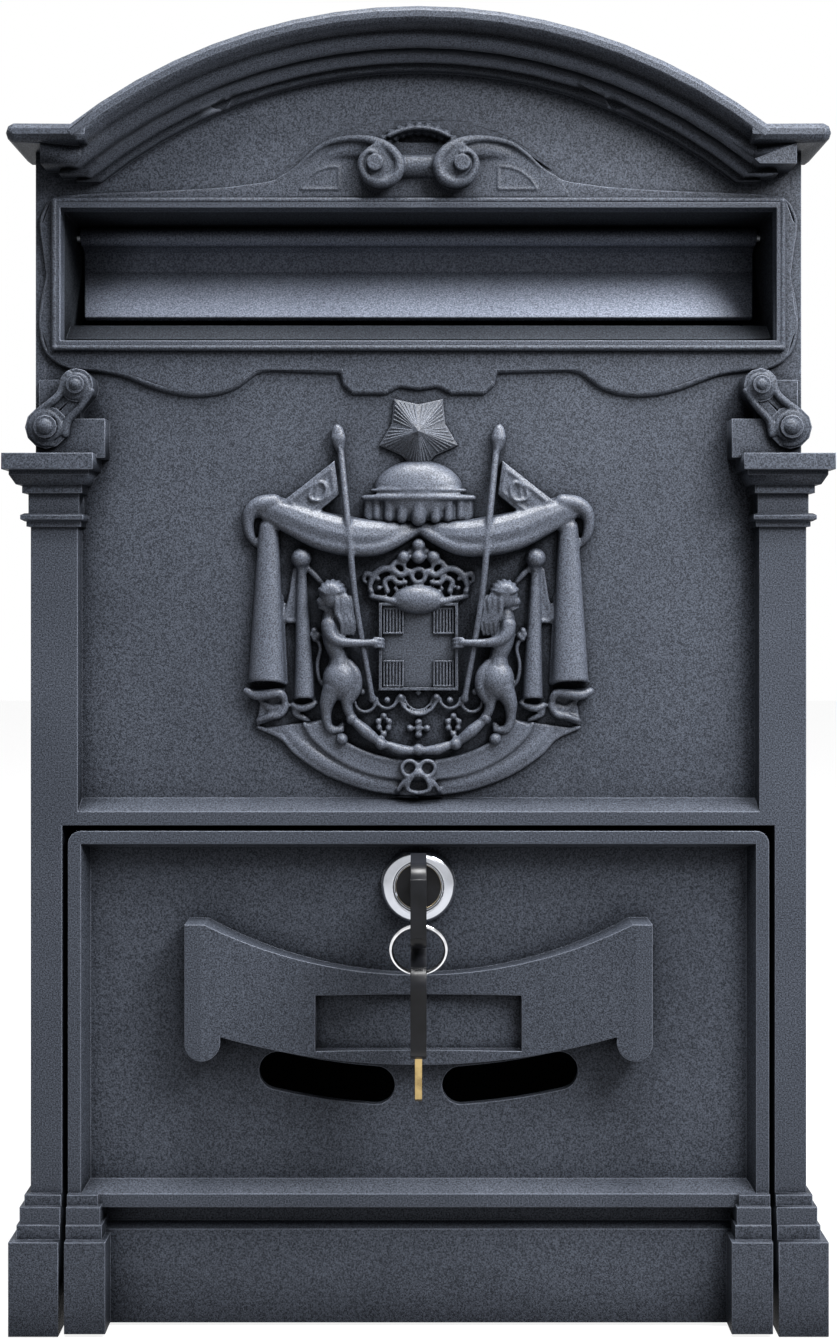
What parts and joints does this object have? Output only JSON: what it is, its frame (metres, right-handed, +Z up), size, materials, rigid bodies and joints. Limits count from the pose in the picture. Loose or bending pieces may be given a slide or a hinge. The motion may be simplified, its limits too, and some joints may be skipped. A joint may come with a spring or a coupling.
{
  "type": "wall letter box",
  "caption": "Arched wall letter box with a cast heraldic front, recessed hanging letter flap, drop-down locking door with view slots, and keys in its lock.",
  "frame": {"origin": "centre of the four wall holes, on the back plate's wall face", "axes": "+Z up, -Y out of the wall towards the viewer, +X to the viewer's right"},
  "size_m": [0.255, 0.1181, 0.408],
  "materials": {
    "coat_front": "sandy matt powder coat",
    "coat_inner": "smooth satin powder coat",
    "zinc": "zinc plated",
    "chrome": "polished",
    "plug_black": "black satin",
    "brass": "milled",
    "bow_plastic": "moulded, matt",
    "cast_black": "die cast with a sandy matt powder coat"
  },
  "bodies": {
    "box": {"front_casting": "cast_black", "housing_shell": "coat_inner", "back_plate": "coat_inner", "back_rivets": "zinc", "case_screws": "zinc", "slot_liner": "coat_front", "liner_screws": "zinc", "flap_rod": "zinc", "door_bracket_left": "zinc", "door_bracket_right": "zinc", "door_pin_left": "zinc", "door_pin_right": "zinc", "bracket_screws": "zinc"},
    "flap": {"letter_flap": "coat_front"},
    "door": {"door_casting": "cast_black", "lock_body": "chrome", "lock_nut": "zinc"},
    "plug": {"lock_plug": "plug_black", "lock_cam": "zinc", "cam_washer": "zinc", "cam_screw": "zinc", "key_blade": "brass", "key_bow": "bow_plastic"},
    "ring": {"key_ring": "chrome"},
    "spare_key": {"spare_key_blade": "brass", "spare_key_bow": "bow_plastic"}
  },
  "joints": [
    {"name": "door_hinge", "type": "hinge", "parent": "box", "child": "door", "pos_m": [0, -0.071, -0.198], "axis": [1, 0, 0], "range_deg": [0, 90]},
    {"name": "flap_hinge", "type": "hinge", "parent": "box", "child": "flap", "pos_m": [0, -0.0561, 0.1393], "axis": [1, 0, 0], "range_deg": [-50, 55]},
    {"name": "lock_turn", "type": "hinge", "parent": "door", "child": "plug", "pos_m": [0, -0.079, -0.0689], "axis": [0, -1, 0], "range_deg": [0, 90]},
    {"name": "ring_swing", "type": "hinge", "parent": "plug", "child": "ring", "pos_m": [0, -0.1113, -0.07505], "axis": [1, 0, 0], "range_deg": [-80, 3]},
    {"name": "spare_swing", "type": "hinge", "parent": "ring", "child": "spare_key", "pos_m": [0, -0.10576, -0.09027], "axis": [1, 0, 0], "range_deg": [-32, 4]}
  ]
}
